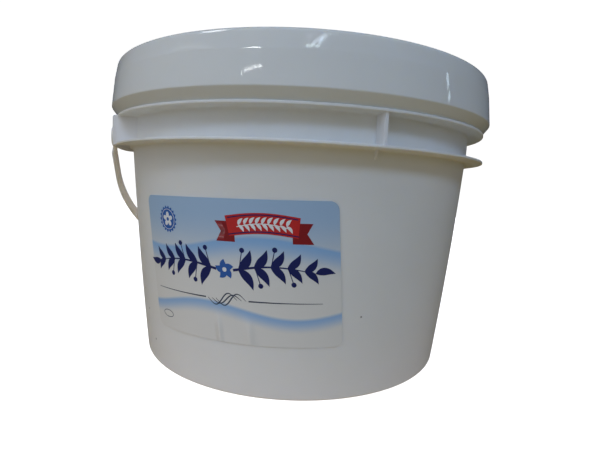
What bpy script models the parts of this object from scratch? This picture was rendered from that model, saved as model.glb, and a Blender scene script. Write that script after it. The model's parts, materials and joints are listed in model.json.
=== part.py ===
"""A shut plastic pail of small fresh cheeses: tapered pail, press-on lid, swinging bail and label.

The pail's axis is Z and it stands on z = 0. The bail turns about the X axis at the height of
the ears and hangs against the back wall, on the +Y side. An azimuth is measured about Z from -Y,
the front, and grows towards +X.
"""

from math import atan2, cos, pi, radians, sin, sqrt, tau

import bmesh
import bpy
from mathutils import Matrix

MM = 0.001
GAP = 0.32 * MM              # clearance between pieces that rest on each other
SINK = 1.5 * MM              # how far a piece reaches into the one it is joined to
EDGE_ROUND = 0.4 * MM        # bevel on the outer edges of flanges and skirt
COVE = 1.3 * MM              # bevel where a flange meets the wall or the neck
TURNS = 80                   # sides of the large round pieces

# Pail: a tapered wall with a slight belly, and a collar of two flanges round a neck
BASE_RADIUS = 100 * MM
WALL_TOP_RADIUS = 110.5 * MM
BELLY = 0.7 * MM
BASE_CORNER = 1.8 * MM
FOOT_WIDTH = 7 * MM
FOOT_DEPTH = 2 * MM
NECK_RADIUS = 111 * MM
LOWER_FLANGE_RADIUS = 120.5 * MM
LOWER_FLANGE_BOTTOM = 126.3 * MM
LOWER_FLANGE_EDGE = 1.3 * MM
UPPER_FLANGE_RADIUS = 119.6 * MM
UPPER_FLANGE_BOTTOM = 142.2 * MM
UPPER_FLANGE_TOP = 143.5 * MM
FLANGE_SLOPE_IN = 0.2 * MM   # how far each flange thickens towards the neck
RIM_RADIUS = 114 * MM
RIM_TOP = 158 * MM

# Ears: they swell out of the neck and end in a flat pad, with a pin and a button head for the
# bail, and they are hollow from below
EAR_RADIUS = 122 * MM
EAR_PAD = 121 * MM           # distance of the flat pad from the middle
EAR_FULL_ANGLE = radians(12)     # from the ear's middle to where it starts to fall away
EAR_END_ANGLE = radians(21)
EAR_TOP = 143.2 * MM
EAR_STEPS = 16
POCKET_HALF_ANGLE = radians(15)
POCKET_INNER = 112.6 * MM
EAR_SHELL = 1.8 * MM
POCKET_BOTTOM = 120 * MM
POCKET_TOP = 136.5 * MM
PIVOT_HEIGHT = 133.5 * MM
PIN_RADIUS = 3.2 * MM
HEAD_RADIUS = 4.6 * MM
HEAD_THICK = 0.9 * MM

# Ribs: a gusset between the flanges front and back, with a low rib under the lower flange
GUSSET_AZIMUTH = radians(3.5)
GUSSET_THICK = 1.8 * MM
GUSSET_RADIUS = 118.6 * MM
UNDER_RIB_THICK = 1.2 * MM
UNDER_RIB_RADIUS = 113 * MM
UNDER_RIB_DROP = 5 * MM
UNDER_RIB_LIP = 1 * MM

# Lid: a leaning skirt with a crease, a curled lower lip, and a panel sunk inside a raised rim
LID_RADIUS = 122.5 * MM
LID_TOP = 173.6 * MM
SKIRT_BOTTOM = 148.8 * MM
CREASE_RADIUS = 120.9 * MM
CREASE_HEIGHT = 164.2 * MM
SHOULDER_RADIUS = 119.2 * MM
SHOULDER_ROUND = 2.3 * MM
LIP_TURN_RADIUS = 119.7 * MM
LIP_TURN = 145 * MM
LIP_RADIUS = 118.5 * MM
RAISED_RIM_WIDTH = 8 * MM
RIM_ROUND = 1.6 * MM
RIM_DRAFT = 1.3 * MM         # how far the rim's inner wall leans in on its way down
PANEL_DROP = 9 * MM
PANEL_ROUND = 3 * MM
PANEL_STEP_RADIUS = 82 * MM
PANEL_STEP = 1.2 * MM
PANEL_STEP_WIDTH = 2 * MM

# Bail: a flat strap, straight by the pivots and a half oval beyond, with an eye at each end that
# lies closer in than the arms
STRAP_THICK = 2.3 * MM
STRAP_WIDTH = 8.2 * MM
STRAP_CORNER = 0.6 * MM
STRAP_INNER = 122.93 * MM    # half the clear width, which swings past the lid's skirt
ARM_LENGTH = 33.5 * MM
BEND_DEPTH = 116.6 * MM      # of the half oval, to the strap's middle line
ARC_STEPS = 48
JOGGLE = (6.6 * MM, 11.6 * MM)   # where the arms step out, measured from the pivot
EYE_INNER = EAR_PAD + 0.35 * MM
EYE_RADIUS = 6.1 * MM
EYE_BORE = 3.5 * MM
EYE_SINK_RADIUS = 4.95 * MM
EYE_WEB = 1.1 * MM           # what is left behind the sunk face that holds the button head
HANG_ANGLE = radians(45.4)   # from straight down to where the strap meets the back wall

# Label: cut for the taper, stuck on a little askew
LABEL_AZIMUTH = radians(-32.2)
LABEL_HEIGHT_ON_WALL = 64.6 * MM
LABEL_TOP_WIDTH = 111 * MM
LABEL_BOTTOM_WIDTH = 107.4 * MM
LABEL_HEIGHT = 71.8 * MM
LABEL_RISE = radians(1.4)
LABEL_LEAN = radians(5.5)
LABEL_CORNER = 4 * MM
LABEL_THICK = 0.3 * MM
LABEL_COLUMNS = 30
LABEL_ROWS = 4

WHITE_PLASTIC = (0.80, 0.82, 0.83, 1)
LABEL_BLUE = (0.42, 0.60, 0.80, 1)


def clear_scene():
    for item in list(bpy.data.objects):
        bpy.data.objects.remove(item)


def plastic(name, colour, roughness):
    material = bpy.data.materials.new(name)
    material.use_nodes = True
    shader = material.node_tree.nodes["Principled BSDF"]
    shader.inputs["Base Color"].default_value = colour
    shader.inputs["Roughness"].default_value = roughness
    shader.inputs["Metallic"].default_value = 0
    return material


def new_object(name, bm, material=None):
    """Make an object of a bmesh, its faces turned outwards and its round sides smooth."""
    bmesh.ops.recalc_face_normals(bm, faces=bm.faces)
    mesh = bpy.data.meshes.new(name)
    bm.to_mesh(mesh)
    bm.free()
    mesh.shade_smooth()
    mesh.set_sharp_from_angle(angle=radians(32))
    item = bpy.data.objects.new(name, mesh)
    bpy.context.scene.collection.objects.link(item)
    if material:
        mesh.materials.append(material)
    return item


def turned(name, profile, material=None):
    """Turn (radius, height) points about Z; the first and last lie on the axis."""
    bm = bmesh.new()
    points = [bm.verts.new((radius, 0, height)) for radius, height in profile]
    edges = [bm.edges.new(pair) for pair in zip(points, points[1:])]
    bmesh.ops.spin(bm, geom=points + edges, cent=(0, 0, 0), axis=(0, 0, 1), dvec=(0, 0, 0),
                   angle=tau, steps=TURNS, use_merge=True, use_duplicate=False)
    bmesh.ops.remove_doubles(bm, verts=bm.verts, dist=0.001 * MM)
    return new_object(name, bm, material)


def lofted(name, rings, material=None):
    """Join a row of rings, each of the same number of points, and cap both ends."""
    bm = bmesh.new()
    rows = [[bm.verts.new(point) for point in ring] for ring in rings]
    for row, after in zip(rows, rows[1:]):
        for i in range(len(row)):
            bm.faces.new((row[i - 1], row[i], after[i], after[i - 1]))
    bm.faces.new(rows[0])
    bm.faces.new(rows[-1])
    return new_object(name, bm, material)


def rod(name, radius, inner, outer, side, height=0, sides=32):
    """A cylinder along X from x = inner to x = outer, on the +X or the -X side."""
    bm = bmesh.new()
    centre = Matrix.Translation((side * (inner + outer) / 2, 0, height))
    bmesh.ops.create_cone(bm, cap_ends=True, segments=sides, radius1=radius, radius2=radius,
                          depth=outer - inner, matrix=centre @ Matrix.Rotation(pi / 2, 4, "Y"))
    return new_object(name, bm)


def combine(body, pieces, operation):
    """Apply one Boolean of a body with pieces, which are then removed."""
    group = bpy.data.collections.new("pieces")
    for piece in pieces:
        bpy.context.scene.collection.objects.unlink(piece)
        group.objects.link(piece)
    bpy.context.scene.collection.children.link(group)
    boolean = body.modifiers.new("combine", "BOOLEAN")
    boolean.operation = operation
    boolean.operand_type = "COLLECTION"
    boolean.collection = group
    evaluated = body.evaluated_get(bpy.context.evaluated_depsgraph_get())
    mesh = bpy.data.meshes.new_from_object(evaluated)
    body.modifiers.clear()
    body.data = mesh
    for piece in pieces:
        bpy.data.objects.remove(piece)
    bpy.data.collections.remove(group)


def arc(centre_radius, centre_height, size, start, end, steps):
    """Points round a circle in the (radius, height) plane, angles in degrees."""
    angles = [radians(start + (end - start) * i / steps) for i in range(steps + 1)]
    return [(centre_radius + size * cos(a), centre_height + size * sin(a)) for a in angles]


def on_circle(azimuth, radius, height, sideways=0):
    """A point at an azimuth from -Y, with a step sideways along the circle."""
    return (radius * sin(azimuth) + sideways * cos(azimuth),
            -radius * cos(azimuth) + sideways * sin(azimuth), height)


def wall_radius(height):
    """The outer radius of the tapered wall."""
    share = height / LOWER_FLANGE_BOTTOM
    return BASE_RADIUS + (WALL_TOP_RADIUS - BASE_RADIUS) * share + BELLY * 4 * share * (1 - share)


def bevelled_edge(radius, bottom, top):
    """The outer edge of a flange, from its underside to its top."""
    return [(radius - EDGE_ROUND, bottom), (radius, bottom + EDGE_ROUND),
            (radius, top - EDGE_ROUND), (radius - EDGE_ROUND, top)]


def pail_profile():
    """Outline of the pail from the middle of its base, up the outside, to the rim's middle."""
    foot_inner = BASE_RADIUS - BASE_CORNER - FOOT_WIDTH
    corner_radius = wall_radius(BASE_CORNER) - BASE_CORNER
    foot = [(0, FOOT_DEPTH), (foot_inner - FOOT_DEPTH, FOOT_DEPTH), (foot_inner, 0)]
    foot += arc(corner_radius, BASE_CORNER, BASE_CORNER, -90, 0, 3)
    heights = [LOWER_FLANGE_BOTTOM * share for share in (0.12, 0.3, 0.5, 0.7, 0.86)]
    wall = [(wall_radius(height), height) for height in heights]
    under = LOWER_FLANGE_BOTTOM - FLANGE_SLOPE_IN
    wall += [(WALL_TOP_RADIUS, under - COVE), (WALL_TOP_RADIUS + COVE, under)]
    lower_top = LOWER_FLANGE_BOTTOM + LOWER_FLANGE_EDGE
    lower = bevelled_edge(LOWER_FLANGE_RADIUS, LOWER_FLANGE_BOTTOM, lower_top)
    neck_low, neck_high = lower_top + FLANGE_SLOPE_IN, UPPER_FLANGE_BOTTOM - FLANGE_SLOPE_IN
    neck = [(NECK_RADIUS + COVE, neck_low), (NECK_RADIUS, neck_low + COVE),
            (NECK_RADIUS, neck_high - COVE), (NECK_RADIUS + COVE, neck_high)]
    upper = bevelled_edge(UPPER_FLANGE_RADIUS, UPPER_FLANGE_BOTTOM, UPPER_FLANGE_TOP)
    rim = [(RIM_RADIUS, UPPER_FLANGE_TOP), (RIM_RADIUS, RIM_TOP - COVE),
           (RIM_RADIUS - COVE, RIM_TOP), (0, RIM_TOP)]
    return foot + wall + lower + neck + upper + rim


def ear_radius(turn):
    """The ear's outer radius at an angle from its middle: flat pad, round face, falling end."""
    fallen = (abs(turn) - EAR_FULL_ANGLE) / (EAR_END_ANGLE - EAR_FULL_ANGLE)
    if fallen > 0:
        return EAR_RADIUS - (EAR_RADIUS - NECK_RADIUS + SINK / 2) * fallen
    return min(EAR_RADIUS, EAR_PAD / cos(turn))


def ear_block(name, side, half_angle, inner, shell, bottom, top):
    """A block bent round Z whose outer face lies a shell's thickness inside the ear's."""
    turns = [half_angle * (2 * i / EAR_STEPS - 1) for i in range(EAR_STEPS + 1)]
    rings = []
    for turn in turns:
        outer = ear_radius(turn) - shell
        corners = [(inner, bottom), (outer, bottom), (outer, top), (inner, top)]
        rings.append([on_circle(side * pi / 2 + turn, r, z) for r, z in corners])
    return lofted(name, rings)


def radial_plate(name, azimuth, thick, outline):
    """A flat plate that stands out from the axis; the outline is (radius, height) points."""
    sides = (-thick / 2, thick / 2)
    return lofted(name, [[on_circle(azimuth, r, z, side) for r, z in outline] for side in sides])


def ear_pieces(side):
    """The ear, pin and button head on one side of the pail."""
    head_start = EYE_INNER + EYE_WEB + GAP
    inside = EAR_PAD - EAR_SHELL / 2
    return [ear_block("ear", side, EAR_END_ANGLE, NECK_RADIUS - SINK, 0, LOWER_FLANGE_BOTTOM, EAR_TOP),
            rod("pin", PIN_RADIUS, inside, head_start + HEAD_THICK / 2, side, PIVOT_HEIGHT),
            rod("head", HEAD_RADIUS, head_start, head_start + HEAD_THICK, side, PIVOT_HEIGHT)]


def rib_pieces():
    """Gussets between the flanges, each over a low triangular rib under the lower flange."""
    inside = WALL_TOP_RADIUS - 2 * SINK
    low, high = LOWER_FLANGE_BOTTOM + SINK / 2, UPPER_FLANGE_BOTTOM + SINK / 2
    gusset = [(inside, low), (GUSSET_RADIUS, low), (GUSSET_RADIUS, high), (inside, high)]
    top = LOWER_FLANGE_BOTTOM + SINK / 3
    under = [(inside, top - UNDER_RIB_DROP), (WALL_TOP_RADIUS, top - UNDER_RIB_DROP),
             (UNDER_RIB_RADIUS, top - UNDER_RIB_LIP), (UNDER_RIB_RADIUS, top), (inside, top)]
    around = (GUSSET_AZIMUTH, pi + GUSSET_AZIMUTH)
    return ([radial_plate("gusset", azimuth, GUSSET_THICK, gusset) for azimuth in around]
            + [radial_plate("rib", azimuth, UNDER_RIB_THICK, under) for azimuth in around])


def make_pail(material):
    """The pail with what it holds, as one solid, because the pack is shut."""
    pail = turned("pail", pail_profile(), material)
    combine(pail, ear_pieces(1) + ear_pieces(-1) + rib_pieces(), "UNION")
    pockets = [ear_block("pocket", side, POCKET_HALF_ANGLE, POCKET_INNER, EAR_SHELL,
                         POCKET_BOTTOM, POCKET_TOP) for side in (1, -1)]
    combine(pail, pockets, "DIFFERENCE")
    return pail


def lid_profile():
    """Outline of the lid from the middle of its panel, out over the rim and down the skirt."""
    panel = LID_TOP - PANEL_DROP
    rim_wall = SHOULDER_RADIUS - SHOULDER_ROUND - RAISED_RIM_WIDTH
    top = [(0, panel - PANEL_STEP), (PANEL_STEP_RADIUS - PANEL_STEP_WIDTH, panel - PANEL_STEP),
           (PANEL_STEP_RADIUS, panel)]
    top += arc(rim_wall - RIM_DRAFT - PANEL_ROUND, panel + PANEL_ROUND, PANEL_ROUND, -90, -5, 3)
    top += arc(rim_wall + RIM_ROUND, LID_TOP - RIM_ROUND, RIM_ROUND, 170, 90, 3)
    top += arc(SHOULDER_RADIUS - SHOULDER_ROUND, LID_TOP - SHOULDER_ROUND, SHOULDER_ROUND, 90, 10, 4)
    skirt = [(CREASE_RADIUS, CREASE_HEIGHT), (LID_RADIUS, SKIRT_BOTTOM + EDGE_ROUND),
             (LID_RADIUS - EDGE_ROUND, SKIRT_BOTTOM)]
    lip_bottom = UPPER_FLANGE_TOP + GAP
    lip = [(LIP_TURN_RADIUS, LIP_TURN), (LIP_RADIUS, lip_bottom)]
    inner = [(RIM_RADIUS + GAP, lip_bottom), (RIM_RADIUS + GAP, RIM_TOP + GAP), (0, RIM_TOP + GAP)]
    return top + skirt + lip + inner


def strap_path():
    """(x, drop, tilt) along the bail's middle line, from the +X pivot round to the -X one."""
    inset, radius = EYE_INNER + STRAP_THICK / 2, STRAP_INNER + STRAP_THICK / 2
    start = [(inset, 0, 0), (inset, JOGGLE[0], 0), (radius, JOGGLE[1], 0)]
    bend = [pi * i / ARC_STEPS for i in range(ARC_STEPS + 1)]
    curve = [(radius * cos(a), ARM_LENGTH + BEND_DEPTH * sin(a),
              atan2(sin(a) / BEND_DEPTH, cos(a) / radius)) for a in bend]
    end = [(-x, drop, pi) for x, drop, _ in reversed(start)]
    return start + curve + end


def strap_section():
    """(across, along) corners of the strap: its thickness and its width, corners bevelled."""
    thick, wide, bevel = STRAP_THICK / 2, STRAP_WIDTH / 2, STRAP_CORNER
    quarter = [(thick, wide - bevel), (thick - bevel, wide)]
    return (quarter + [(-a, b) for a, b in reversed(quarter)]
            + [(-a, -b) for a, b in quarter] + [(a, -b) for a, b in reversed(quarter)])


def make_bail(material):
    """The bail, modelled hanging straight down from its pivots and then swung to the back."""
    rings = [[(x + across * cos(tilt), along, -drop - across * sin(tilt))
              for across, along in strap_section()] for x, drop, tilt in strap_path()]
    bail = lofted("bail", rings, material)
    outer = EYE_INNER + STRAP_THICK
    combine(bail, [rod("eye", EYE_RADIUS, EYE_INNER, outer, side) for side in (1, -1)], "UNION")
    bores = [rod("bore", EYE_BORE, EYE_INNER - SINK, outer + SINK, side) for side in (1, -1)]
    combine(bail, bores, "DIFFERENCE")
    sinks = [rod("sink", EYE_SINK_RADIUS, EYE_INNER + EYE_WEB, outer + SINK, side)
             for side in (1, -1)]
    combine(bail, sinks, "DIFFERENCE")
    bail.location = (0, 0, PIVOT_HEIGHT)
    bail.rotation_euler = (HANG_ANGLE, 0, 0)
    return bail


def label_half_height(across):
    """Half the label's height at a distance from its middle, less at its round corners."""
    into_corner = abs(across) - (0.5 - LABEL_CORNER / LABEL_TOP_WIDTH)
    if into_corner <= 0:
        return LABEL_HEIGHT / 2
    step = into_corner * LABEL_TOP_WIDTH
    return LABEL_HEIGHT / 2 - LABEL_CORNER + sqrt(max(LABEL_CORNER ** 2 - step ** 2, 0))


def label_point(across, up, lift):
    """A point of the label: across runs from -0.5 to 0.5, up is a height above its middle."""
    share = up / LABEL_HEIGHT + 0.5
    width = LABEL_BOTTOM_WIDTH + (LABEL_TOP_WIDTH - LABEL_BOTTOM_WIDTH) * share
    sideways = across * width - up * sin(LABEL_LEAN)
    height = LABEL_HEIGHT_ON_WALL + up + across * width * sin(LABEL_RISE)
    radius = wall_radius(height)
    return on_circle(LABEL_AZIMUTH + sideways / radius, radius + lift, height)


def make_label(material):
    """The label as a thin skin just off the wall."""
    corner = LABEL_CORNER / LABEL_TOP_WIDTH
    ends = [0.5 - corner * (1 - sin(radians(a))) for a in (90, 60, 35, 15, 0)]
    middle = [(0.5 - corner) * (1 - 2 * i / LABEL_COLUMNS) for i in range(1, LABEL_COLUMNS)]
    columns = ends + middle + [-across for across in reversed(ends)]
    rings = []
    for across in columns:
        half = label_half_height(across)
        rise = [half * (2 * i / LABEL_ROWS - 1) for i in range(LABEL_ROWS + 1)]
        front = [label_point(across, up, GAP + LABEL_THICK) for up in rise]
        back = [label_point(across, up, GAP) for up in reversed(rise)]
        rings.append(front + back)
    return lofted("label", rings, material)


def main():
    clear_scene()
    white = plastic("white polypropylene", WHITE_PLASTIC, 0.35)
    make_pail(white)
    turned("lid", lid_profile(), white)
    make_bail(white)
    make_label(plastic("coated paper", LABEL_BLUE, 0.5))


main()
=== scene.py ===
"""Looks of a shut white pail of small fresh cheeses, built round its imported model.

The pail's axis is Z and it stands on z = 0. An azimuth is measured about Z from -Y, the front,
and grows towards +X. The label's own coordinates run across and up from its middle.
"""

import json
from math import ceil, cos, pi, radians, sin, sqrt, tan, tau

import bmesh
import bpy
from mathutils import Matrix, Vector


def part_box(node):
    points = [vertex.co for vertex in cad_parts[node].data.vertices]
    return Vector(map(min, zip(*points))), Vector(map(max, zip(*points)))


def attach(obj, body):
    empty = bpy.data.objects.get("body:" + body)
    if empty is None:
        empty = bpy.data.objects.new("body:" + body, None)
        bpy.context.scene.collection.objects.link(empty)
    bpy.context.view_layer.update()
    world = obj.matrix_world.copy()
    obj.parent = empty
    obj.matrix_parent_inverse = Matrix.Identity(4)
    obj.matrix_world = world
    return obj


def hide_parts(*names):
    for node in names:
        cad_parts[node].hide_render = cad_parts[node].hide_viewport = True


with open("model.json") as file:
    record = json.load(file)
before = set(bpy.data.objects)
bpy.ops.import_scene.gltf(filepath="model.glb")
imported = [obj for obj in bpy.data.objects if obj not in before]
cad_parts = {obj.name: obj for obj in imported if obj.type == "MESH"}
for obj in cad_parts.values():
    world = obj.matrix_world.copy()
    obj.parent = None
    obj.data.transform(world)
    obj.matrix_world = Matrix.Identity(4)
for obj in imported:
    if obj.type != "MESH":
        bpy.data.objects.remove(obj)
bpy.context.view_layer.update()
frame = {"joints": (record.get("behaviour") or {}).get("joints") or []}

MM = 0.001
PACK, HANDLE = "pack", "handle"  # the two bodies of the frame
PAIL_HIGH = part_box("pail")[1]
LID_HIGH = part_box("lid")[1]
PIVOT_HEIGHT = frame["joints"][0]["pos_m"][2]

SIDES = 288  # sides of the large turned pieces
SMALL_SIDES = 64  # and of the eyes and the pivots
FINE = 0.01 * MM  # points nearer than this are one point
SINK = 1.5 * MM  # how far a piece reaches into the one it is moulded with
BEVEL_ANGLE = 40  # degrees: edges that turn further are bevelled
SHARP_ANGLE = 35  # degrees: edges that turn further are shaded sharp
PAIL_SHARP_ANGLE = 38
FILM_SHARP_ANGLE = 60

# Pail wall, foot and the collar of two flanges round a neck
BASE_RADIUS = 100 * MM
WALL_TOP_RADIUS = 110.5 * MM
WALL_RINGS = 16
WALL_END = 0.06  # share of the height that is left to each end's bends
BELLY = 0.7 * MM
BASE_ROUND = 1.6 * MM
FOOT_INNER = 91.2 * MM
FOOT_DEPTH = 2 * MM
FOOT_TOP_ROUND = 0.8 * MM
FOOT_EDGE_ROUND = 0.6 * MM
NECK_RADIUS = 111 * MM
LOWER_FLANGE_RADIUS = PAIL_HIGH.y
LOWER_FLANGE_BOTTOM = 126.3 * MM
LOWER_FLANGE_TOP = 127.6 * MM
UPPER_FLANGE_RADIUS = 119.6 * MM
UPPER_FLANGE_BOTTOM = 142.2 * MM
UPPER_FLANGE_TOP = 143.5 * MM
FLANGE_SLOPE = 0.2 * MM  # how far each flange thickens towards the neck
FLANGE_ROUND = 0.45 * MM
COVE = 1.3 * MM
RIM_RADIUS = 114 * MM
RIM_TOP = PAIL_HIGH.z
RIM_TOP_ROUND = 1.4 * MM

# Ears that swell out of the neck and end in a flat pad, their pockets and pivots, and the ribs
EAR_RADIUS = 122 * MM
EAR_PAD = 121 * MM
EAR_FULL_ANGLE = radians(12)
EAR_END_ANGLE = radians(21)
EAR_BOTTOM = LOWER_FLANGE_BOTTOM - 0.1 * MM
EAR_TOP = 143.2 * MM
EAR_STEPS = 96
EAR_BEVEL = 0.5 * MM
EAR_SHELL = 1.8 * MM
POCKET_HALF_ANGLE = radians(15)
POCKET_INNER = 112.6 * MM
POCKET_BOTTOM = 120 * MM
POCKET_TOP = 136.5 * MM
PIN_RADIUS = 3.2 * MM
HEAD_RADIUS = 4.6 * MM
HEAD_THICK = 0.9 * MM
PIN_FILLET = 0.1 * MM
HEAD_FILLET = 0.2 * MM
GUSSET_AZIMUTH = radians(3.5)
GUSSET_THICK = 1.8 * MM
GUSSET_RADIUS = 118.6 * MM
RIB_THICK = 1.2 * MM
RIB_RADIUS = 113 * MM
RIB_DROP = 5 * MM
RIB_LIP = 1 * MM
SMALL_BEVEL = 0.35 * MM

# Lid: skirt with a crease, curled lip, and a panel sunk inside a raised rim
CLEARANCE = 0.32 * MM
LID_RADIUS = LID_HIGH.y
LID_TOP = LID_HIGH.z
LIP_BOTTOM = UPPER_FLANGE_TOP + 0.02 * MM
SKIRT_BOTTOM = 148.8 * MM
SKIRT_ROUND = 1.1 * MM
CREASE_RADIUS = 120.9 * MM
CREASE_HEIGHT = 164.2 * MM
CREASE_ROUND = 6 * MM
SHOULDER_RADIUS = 119.2 * MM
SHOULDER_ROUND = 2.6 * MM
LIP_TURN_RADIUS = 119.7 * MM
LIP_TURN = 145 * MM
LIP_TURN_ROUND = 1.2 * MM
LIP_RADIUS = 118.5 * MM
LIP_ROUND = 0.4 * MM
LIP_INNER_ROUND = 0.3 * MM
INSIDE_ROUND = 0.5 * MM  # where the lid's wall meets its underside
RIM_WALL = 108.9 * MM  # inner radius of the raised rim
RIM_DRAFT = 1.3 * MM
RIM_ROUND = 1.6 * MM
PANEL_HEIGHT = LID_TOP - 9 * MM
PANEL_ROUND = 3 * MM
PANEL_STEP_RADIUS = 82 * MM
PANEL_STEP_WIDTH = 2 * MM
PANEL_STEP = 1.2 * MM
STEP_ROUND = 0.9 * MM

# Bail: a flat strap, straight by the pivots and a half oval beyond, with an eye at each end
STRAP_THICK = 2.3 * MM
STRAP_WIDTH = 8.2 * MM
STRAP_ROUND = 0.7 * MM
STRAP_INNER = 122.93 * MM
ARM_LENGTH = 33.5 * MM
BEND_DEPTH = 116.6 * MM
ARC_STEPS = 120
JOGGLE = (6.6 * MM, 11.6 * MM)  # where the arms step out, measured from the pivot
JOGGLE_STEPS = 8
HANG_ANGLE = radians(45.4)
EYE_INNER = EAR_PAD + 0.35 * MM
EYE_RADIUS = 6.1 * MM
EYE_BORE = 3.5 * MM
EYE_SINK_RADIUS = 4.95 * MM
EYE_WEB = 1.1 * MM
EYE_ROUND = 0.3 * MM

# Label, stuck on a little askew
LABEL_AZIMUTH = radians(-32.2)
LABEL_MIDDLE = 64.6 * MM
LABEL_TOP_WIDTH = 111 * MM
LABEL_BOTTOM_WIDTH = 107.4 * MM
LABEL_HEIGHT = 71.8 * MM
LABEL_RISE = radians(1.4)
LABEL_LEAN = radians(5.5)
LABEL_CORNER = 4 * MM
LABEL_FACE = 0.35 * MM  # how far the label's face stands off the wall
LABEL_BACK = -0.05 * MM
LABEL_COLUMNS = 120
LABEL_ROWS = 60
LABEL_CORNER_STEPS = 8
INK = 0.03 * MM  # one layer of ink

# The photograph's camera, its pan, tilt and roll in radians
CAMERA_AZIMUTH = radians(-15)
CAMERA_DISTANCE = 290.2 * MM  # from the pail's axis
CAMERA_HEIGHT = 108.3 * MM
CAMERA_PAN = -0.0097
CAMERA_TILT = -0.0991
CAMERA_ROLL = 0.0505
LENS = 23.85  # focal length in millimetres
SENSOR_WIDTH = 36  # millimetres


def linear(code):
    """The linear RGBA of an sRGB hex colour."""
    parts = [int(code[i:i + 2], 16) / 255 for i in (1, 3, 5)]
    return [c / 12.92 if c <= 0.04045 else ((c + 0.055) / 1.055) ** 2.4 for c in parts] + [1]


def add(tree, kind, inputs=(), **settings):
    """Add a node with its settings; each input is a value, or a node or output to link."""
    node = tree.nodes.new(kind)
    for name, value in settings.items():
        setattr(node, name, value)
    join(tree, node, inputs)
    return node


def join(tree, node, inputs):
    """Set or link a node's inputs. A node given as an input stands for its first output."""
    for socket, value in dict(inputs).items():
        if isinstance(value, bpy.types.Node):
            value = value.outputs[0]
        if isinstance(value, bpy.types.NodeSocket):
            tree.links.new(value, node.inputs[socket])
        else:
            node.inputs[socket].default_value = value


# ---------------------------------------------------------------- outlines and meshes

def rounded(corners, steps=6, most=0.49):
    """An outline of (radius, height, round) corners, each corner bent to a smooth curve.

    A bend takes at most just under half of the side before it and after it."""
    points = []
    for i, (radius, height, bend) in enumerate(corners):
        corner = Vector((radius, height))
        if not bend:
            points.append(corner)
            continue
        back = Vector(corners[i - 1][:2]) - corner
        ahead = Vector(corners[i + 1][:2]) - corner
        reach = min(bend / tan(back.angle(ahead) / 2), most * back.length, most * ahead.length)
        start, end = corner + back.normalized() * reach, corner + ahead.normalized() * reach
        points += [start.lerp(corner, t).lerp(corner.lerp(end, t), t)
                   for t in (k / steps for k in range(steps + 1))]
    return supported(points)


def supported(points, longest=5 * MM, near=0.4 * MM):
    """Add points along long straight stretches and near their ends, which keeps shading even."""
    out = [points[0]]
    for start, end in zip(points, points[1:]):
        length = (end - start).length
        if length > 3 * near:
            count = ceil(length / longest)
            shares = [near / length, 1 - near / length] + [i / count for i in range(1, count)]
            out += [start.lerp(end, share) for share in sorted(shares)]
        out.append(end)
    return out


def wall_radius(height):
    """The outer radius of the tapered wall."""
    share = height / LOWER_FLANGE_BOTTOM
    return BASE_RADIUS + (WALL_TOP_RADIUS - BASE_RADIUS) * share + BELLY * 4 * share * (1 - share)


def on_circle(azimuth, radius, height, sideways=0.0):
    """A point at an azimuth from -Y, with a step sideways along the circle."""
    return Vector((radius * sin(azimuth) + sideways * cos(azimuth),
                   -radius * cos(azimuth) + sideways * sin(azimuth), height))


def new_object(name, mesh, material=None, sharp=None):
    """Put a smooth mesh into the scene, its edges sharp from an angle in degrees where given."""
    item = bpy.data.objects.new(name, mesh)
    bpy.context.scene.collection.objects.link(item)
    if material:
        mesh.materials.append(material)
    mesh.shade_smooth()
    if sharp:
        mesh.set_sharp_from_angle(angle=radians(sharp))
    return item


def from_bmesh(name, bm, material=None, sharp=SHARP_ANGLE):
    """Make an object of a bmesh, its doubles merged and its faces turned outwards."""
    bmesh.ops.remove_doubles(bm, verts=bm.verts, dist=FINE / 2)
    bmesh.ops.recalc_face_normals(bm, faces=bm.faces)
    mesh = bpy.data.meshes.new(name)
    bm.to_mesh(mesh)
    bm.free()
    return new_object(name, mesh, material, sharp)


def baked(item):
    """Turn what an object's modifiers make into its plain mesh."""
    evaluated = item.evaluated_get(bpy.context.evaluated_depsgraph_get())
    mesh = bpy.data.meshes.new_from_object(evaluated)
    item.modifiers.clear()
    item.data = mesh


def input_sockets(tree, **kinds):
    """Give a geometry tree its named inputs and its one output."""
    for name, kind in kinds.items():
        tree.interface.new_socket(name, in_out="INPUT", socket_type="NodeSocket" + kind)
    tree.interface.new_socket("Moulding", in_out="OUTPUT", socket_type="NodeSocketGeometry")
    return tree.nodes.new("NodeGroupInput").outputs


def end_tree(tree, geometry, plastic):
    """End a geometry tree: its moulding smooth, with no instances and with its material."""
    smooth = add(tree, "GeometryNodeSetShadeSmooth", {"Geometry": geometry})
    real = add(tree, "GeometryNodeRealizeInstances", {"Geometry": smooth})
    finished = add(tree, "GeometryNodeSetMaterial", {"Geometry": real, "Material": plastic})
    add(tree, "NodeGroupOutput", {0: finished})


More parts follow.
